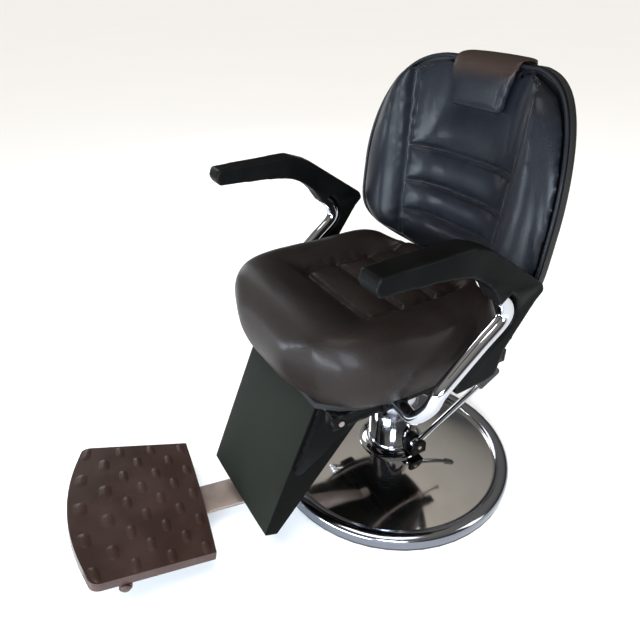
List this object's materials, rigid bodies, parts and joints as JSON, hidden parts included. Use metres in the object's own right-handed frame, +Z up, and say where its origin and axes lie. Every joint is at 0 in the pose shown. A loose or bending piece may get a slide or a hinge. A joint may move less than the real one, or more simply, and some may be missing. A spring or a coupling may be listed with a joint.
{
  "type": "barber chair",
  "caption": "Barber chair with a round chrome pump base, padded seat and winged back, looped arms, a legrest that rises as the back reclines, and a swinging footrest.",
  "frame": {"origin": "centre of the ballast plate's underside, on the floor and on the column's axis", "axes": "+Z up along the column, -Y the way the sitter faces, +X the sitter's left"},
  "size_m": [0.622, 1.0917, 0.9641],
  "materials": {
    "chrome": "polished chrome plate",
    "steel": "satin steel",
    "black_steel": "black paint",
    "cast_iron": "as cast",
    "rubber": "matt black",
    "leather": "black, soft sheen",
    "vinyl": "matt vinyl",
    "covered_board": "plywood covered in black vinyl",
    "moulding": "black satin moulding",
    "tread": "dark brown, glossy"
  },
  "bodies": {
    "base": {"base_shell": "chrome", "floor_ring": "rubber", "ballast_plate": "cast_iron", "swivel_bearing": "steel", "base_flange": "chrome"},
    "pump": {"pump_housing": "chrome", "pump_collar": "black_steel", "lever_fork": "black_steel", "lever_pin": "steel"},
    "foot_lever": {"lever_eye": "chrome", "foot_lever": "chrome", "pedal_sleeve": "rubber"},
    "seat": {"pump_ram": "chrome", "saddle_hub": "black_steel", "saddle_plate": "black_steel", "seat_rail_left": "black_steel", "seat_rail_right": "black_steel", "cross_tube_front": "black_steel", "cross_tube_rear": "black_steel", "cross_tube_footrest": "black_steel", "seat_board": "covered_board", "seat_cushion": "leather", "legrest_rod": "steel", "hinge_bracket_left": "black_steel", "hinge_bracket_right": "black_steel", "recliner_hub_left": "black_steel", "recliner_hub_right": "black_steel", "recline_shaft": "steel", "arm_bracket_left": "black_steel", "arm_bracket_right": "black_steel", "arm_tube_left": "chrome", "arm_tube_right": "chrome", "armrest_left": "moulding", "armrest_right": "moulding", "footrest_pivot": "steel"},
    "back": {"back_cushion": "leather", "back_shell": "moulding", "back_arm_left": "black_steel", "back_arm_right": "black_steel", "headrest_guide": "black_steel"},
    "headrest": {"headrest_pad": "leather", "headrest_post": "chrome"},
    "links": {"link_bar_left": "steel", "link_bar_right": "steel"},
    "legrest": {"legrest_panel": "vinyl", "legrest_plate_left": "black_steel", "legrest_plate_right": "black_steel"},
    "recline_lever": {"recline_lever": "chrome", "recline_grip": "moulding"},
    "footrest": {"footrest_bar": "steel", "footrest_sleeve": "steel", "footrest_rod": "steel", "rod_cap_left": "tread", "rod_cap_right": "tread", "footplate_buffer": "rubber"},
    "footplate": {"footplate_tray": "tread", "foot_tread": "tread", "footplate_lug_left": "tread", "footplate_lug_right": "tread"}
  },
  "joints": [
    {"name": "swivel", "type": "hinge", "parent": "base", "child": "pump", "pos_m": [0, 0, 0], "axis": [0, 0, 1], "continuous": true},
    {"name": "lift", "type": "slide", "parent": "pump", "child": "seat", "axis": [0, 0, 1], "range_m": [0, 0.14]},
    {"name": "foot_lever_pump", "type": "hinge", "parent": "pump", "child": "foot_lever", "pos_m": [0.078, 0.014, 0.094], "axis": [1, 0, 0], "range_deg": [-22, 0], "stiffness_Nm_per_rad": 6, "springref_deg": 25.78},
    {"name": "recline", "type": "hinge", "parent": "seat", "child": "back", "pos_m": [0, 0.125, 0.44], "axis": [-1, 0, 0], "range_deg": [0, 40]},
    {"name": "headrest_height", "type": "slide", "parent": "back", "child": "headrest", "axis": [0, 0.1011, 0.9949], "range_m": [0, 0.09]},
    {"name": "link_swing", "type": "hinge", "parent": "back", "child": "links", "pos_m": [0, 0.2, 0.385], "axis": [-1, 0, 0], "range_deg": [-40, 0]},
    {"name": "legrest_swing", "type": "hinge", "parent": "seat", "child": "legrest", "pos_m": [0, -0.287, 0.385], "axis": [-1, 0, 0], "range_deg": [0, 40]},
    {"name": "recline_release", "type": "hinge", "parent": "seat", "child": "recline_lever", "pos_m": [0, 0.125, 0.44], "axis": [1, 0, 0], "range_deg": [0, 20], "stiffness_Nm_per_rad": 1.5, "springref_deg": -17.19},
    {"name": "footrest_swing", "type": "hinge", "parent": "seat", "child": "footrest", "pos_m": [0, -0.13, 0.36], "axis": [0, 0, 1], "range_deg": [-10.8, 29.2]},
    {"name": "footplate_tip", "type": "hinge", "parent": "footrest", "child": "footplate", "pos_m": [-0.08873, -0.67786, 0.0895], "axis": [0.9871, -0.1599, 0], "range_deg": [0, 50]}
  ],
  "couplings": [
    {"joint": "link_swing", "follows": "recline", "ratio": -1},
    {"joint": "legrest_swing", "follows": "recline", "ratio": 1}
  ]
}
